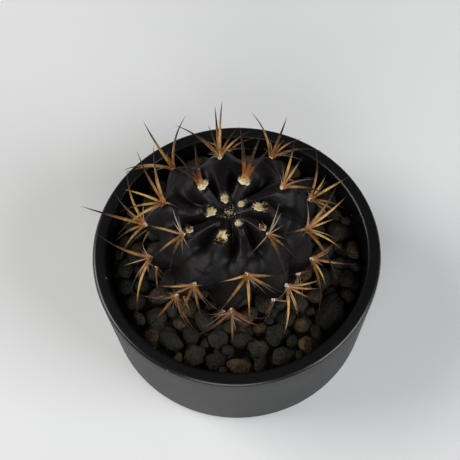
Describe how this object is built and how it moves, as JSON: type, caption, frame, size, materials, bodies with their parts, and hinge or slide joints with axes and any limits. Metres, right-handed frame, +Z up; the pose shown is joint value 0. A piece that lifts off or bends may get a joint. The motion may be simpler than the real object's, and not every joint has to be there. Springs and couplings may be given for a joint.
{
  "type": "potted round cactus",
  "caption": "Low ribbed ball cactus with fans of long spines, in a plain straight-sided black pot dressed with dark lava gravel.",
  "frame": {"origin": "middle of the pot's flat underside", "axes": "+Z up along the pot's axis, -Y towards the side from which the plant is usually looked at"},
  "size_m": [0.1065, 0.105, 0.0768],
  "materials": {
    "pot_finish": "matte black, fine even grain",
    "net_plastic": "matte",
    "potting_mix": "loose, matte",
    "lava_gravel": "rough, porous",
    "cactus_skin": "satin skin",
    "spine_horn": "smooth horn, dark towards the tip",
    "areole_wool": "felted wool"
  },
  "bodies": {
    "root": {"areole_r01_1": "areole_wool", "areole_r01_2": "spine_horn", "areole_r01_3": "spine_horn", "areole_r01_4": "spine_horn", "areole_r02_1": "spine_horn", "areole_r02_2": "spine_horn", "areole_r02_3": "spine_horn", "areole_r03_1": "areole_wool", "areole_r03_2": "spine_horn", "areole_r03_3": "spine_horn", "areole_r04_1": "spine_horn", "areole_r04_2": "spine_horn", "areole_r04_3": "spine_horn", "areole_r05_1": "areole_wool", "areole_r05_2": "spine_horn", "areole_r05_3": "spine_horn", "areole_r05_4": "spine_horn", "areole_r06_1": "spine_horn", "areole_r06_2": "spine_horn", "areole_r06_3": "spine_horn", "areole_r07_1": "areole_wool", "areole_r07_2": "spine_horn", "areole_r07_3": "spine_horn", "areole_r07_4": "spine_horn", "areole_r08_1": "areole_wool", "areole_r08_2": "spine_horn", "areole_r08_3": "spine_horn", "areole_r08_4": "spine_horn", "areole_r09_1": "spine_horn", "areole_r09_2": "spine_horn", "areole_r09_3": "spine_horn", "areole_r10_1": "areole_wool", "areole_r10_2": "spine_horn", "areole_r10_3": "spine_horn", "areole_r10_4": "spine_horn", "cactus_body": "cactus_skin", "drain_net": "net_plastic", "gravel_bed": "lava_gravel", "pot": "pot_finish", "soil": "potting_mix", "stone_01": "lava_gravel", "stone_02": "lava_gravel", "stone_03": "lava_gravel", "stone_04": "lava_gravel", "stone_05": "lava_gravel", "stone_06": "lava_gravel", "stone_07": "lava_gravel", "stone_08": "lava_gravel", "stone_09": "lava_gravel", "stone_10": "lava_gravel", "stone_11": "lava_gravel", "stone_12": "lava_gravel", "stone_13": "lava_gravel", "stone_14": "lava_gravel", "stone_15": "lava_gravel", "stone_16": "lava_gravel", "stone_17": "lava_gravel", "stone_18": "lava_gravel", "stone_19": "lava_gravel", "stone_20": "lava_gravel"}
  },
  "joints": []
}
